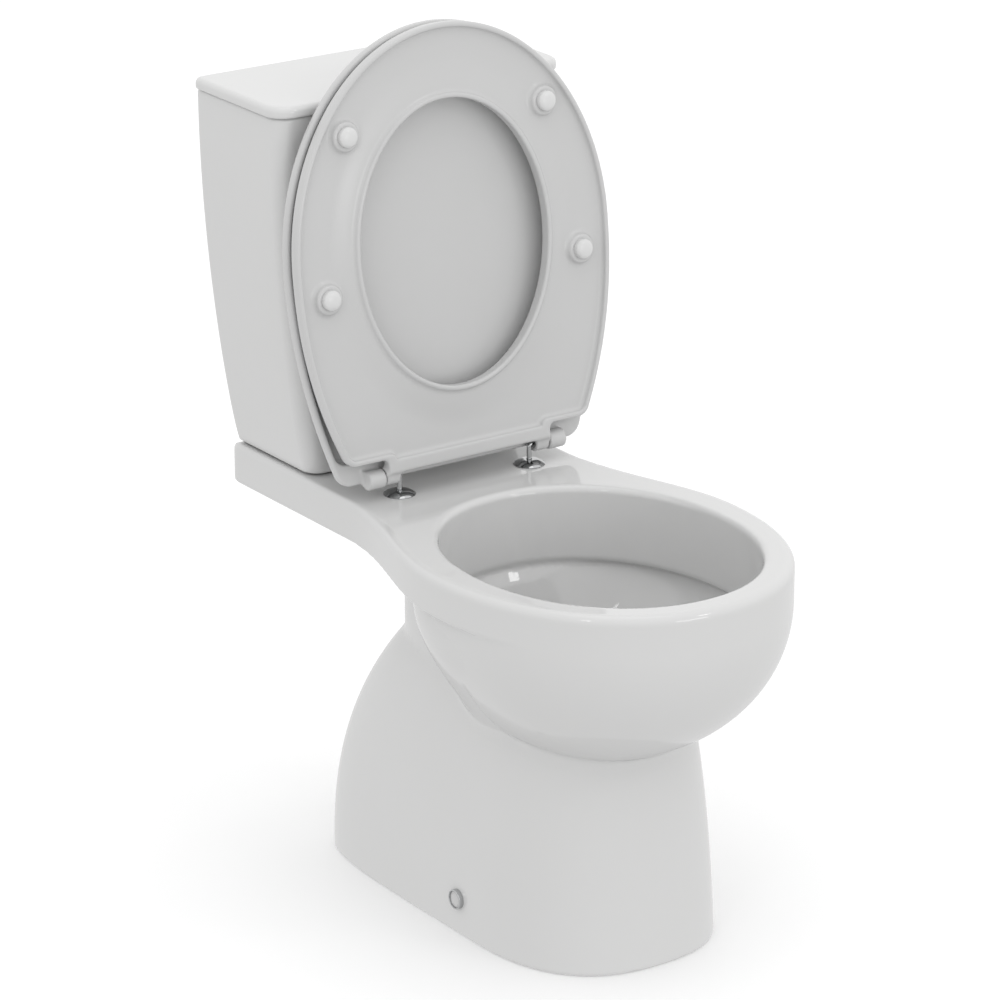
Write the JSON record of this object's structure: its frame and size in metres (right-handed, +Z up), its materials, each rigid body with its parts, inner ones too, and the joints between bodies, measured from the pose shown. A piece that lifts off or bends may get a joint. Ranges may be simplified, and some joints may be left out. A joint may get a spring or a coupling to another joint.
{
  "type": "close coupled toilet",
  "caption": "Close coupled toilet with a floor standing pan, cistern on its shelf, raised seat and cover on a rear hinge, and a push button in the cistern lid.",
  "frame": {"origin": "on the floor, at the middle of the plan box: midway between the wall plane and the front of the rim", "axes": "+Z up, the front of the pan faces -Y, the wall is at +Y, +X is to the right of someone facing the toilet"},
  "size_m": [0.366, 0.648, 0.8547],
  "materials": {
    "glazed_china": "gloss",
    "seat_plastic": "gloss",
    "fitting_plastic": "matte",
    "blue_plastic": "matte",
    "chrome": "polished",
    "brass": "satin",
    "zinc_steel": "satin",
    "rubber": "matte"
  },
  "bodies": {
    "root": {"button_housing": "chrome", "button_nut": "fitting_plastic", "cistern": "glazed_china", "cistern_lid": "glazed_china", "coupling_gasket": "rubber", "fill_valve_body": "fitting_plastic", "fill_valve_nut": "fitting_plastic", "fill_valve_washer": "rubber", "floor_bracket_left": "fitting_plastic", "floor_bracket_right": "fitting_plastic", "flush_base_washer": "rubber", "flush_valve_body": "fitting_plastic", "flush_valve_nut": "fitting_plastic", "hinge_bush_left": "rubber", "hinge_bush_right": "rubber", "hinge_disc_left": "chrome", "hinge_disc_right": "chrome", "hinge_pintle_left": "chrome", "hinge_pintle_right": "chrome", "pan": "glazed_china", "side_cap_left": "seat_plastic", "side_cap_right": "seat_plastic", "side_cap_ring_left": "chrome", "side_cap_ring_right": "chrome", "side_screw_left": "zinc_steel", "side_screw_right": "zinc_steel", "tank_bolt_left": "brass", "tank_bolt_plate_left": "rubber", "tank_bolt_plate_right": "rubber", "tank_bolt_right": "brass", "tank_washer_left": "rubber", "tank_washer_right": "rubber", "tank_wing_nut_left": "brass", "tank_wing_nut_right": "brass"},
    "seat_ring": {"seat_ring": "seat_plastic", "seat_buffer_front_left": "seat_plastic", "seat_buffer_front_right": "seat_plastic", "seat_buffer_rear_left": "seat_plastic", "seat_buffer_rear_right": "seat_plastic"},
    "seat_cover": {"seat_cover": "seat_plastic", "cover_buffer_left": "seat_plastic", "cover_buffer_right": "seat_plastic"},
    "full_button": {"button_full": "chrome", "button_rod_full": "fitting_plastic"},
    "half_button": {"button_half": "chrome", "button_rod_half": "fitting_plastic"},
    "flush_lift": {"flush_lift_tube": "blue_plastic", "flush_seal": "rubber"},
    "inlet_float": {"fill_valve_float": "blue_plastic"},
    "inlet_lever": {"fill_valve_lever": "fitting_plastic"}
  },
  "joints": [
    {"name": "seat_ring_hinge", "type": "hinge", "parent": "root", "child": "seat_ring", "pos_m": [0, 0.1005, 0.421], "axis": [1, 0, 0], "range_deg": [0, 97]},
    {"name": "seat_cover_hinge", "type": "hinge", "parent": "root", "child": "seat_cover", "pos_m": [0, 0.1005, 0.421], "axis": [1, 0, 0], "range_deg": [0, 97]},
    {"name": "full_button_press", "type": "slide", "parent": "root", "child": "full_button", "axis": [0, 0, -1], "range_m": [0, 0.006], "stiffness_N_per_m": 300, "springref_m": -0.003},
    {"name": "half_button_press", "type": "slide", "parent": "root", "child": "half_button", "axis": [0, 0, -1], "range_m": [0, 0.006], "stiffness_N_per_m": 300, "springref_m": -0.003},
    {"name": "flush_lift_slide", "type": "slide", "parent": "root", "child": "flush_lift", "axis": [0, 0, 1], "range_m": [0, 0.018]},
    {"name": "inlet_float_slide", "type": "slide", "parent": "root", "child": "inlet_float", "axis": [0, 0, 1], "range_m": [0, 0.02]},
    {"name": "inlet_lever_hinge", "type": "hinge", "parent": "root", "child": "inlet_lever", "pos_m": [0.109, 0.279, 0.6885], "axis": [0, 1, 0], "range_deg": [0, 29]}
  ],
  "couplings": [
    {"joint": "seat_cover_hinge", "follows": "seat_ring_hinge", "ratio": 1},
    {"joint": "flush_lift_slide", "follows": "full_button_press", "ratio": 3},
    {"joint": "inlet_lever_hinge", "follows": "inlet_float_slide", "rad_per_m": 25}
  ]
}
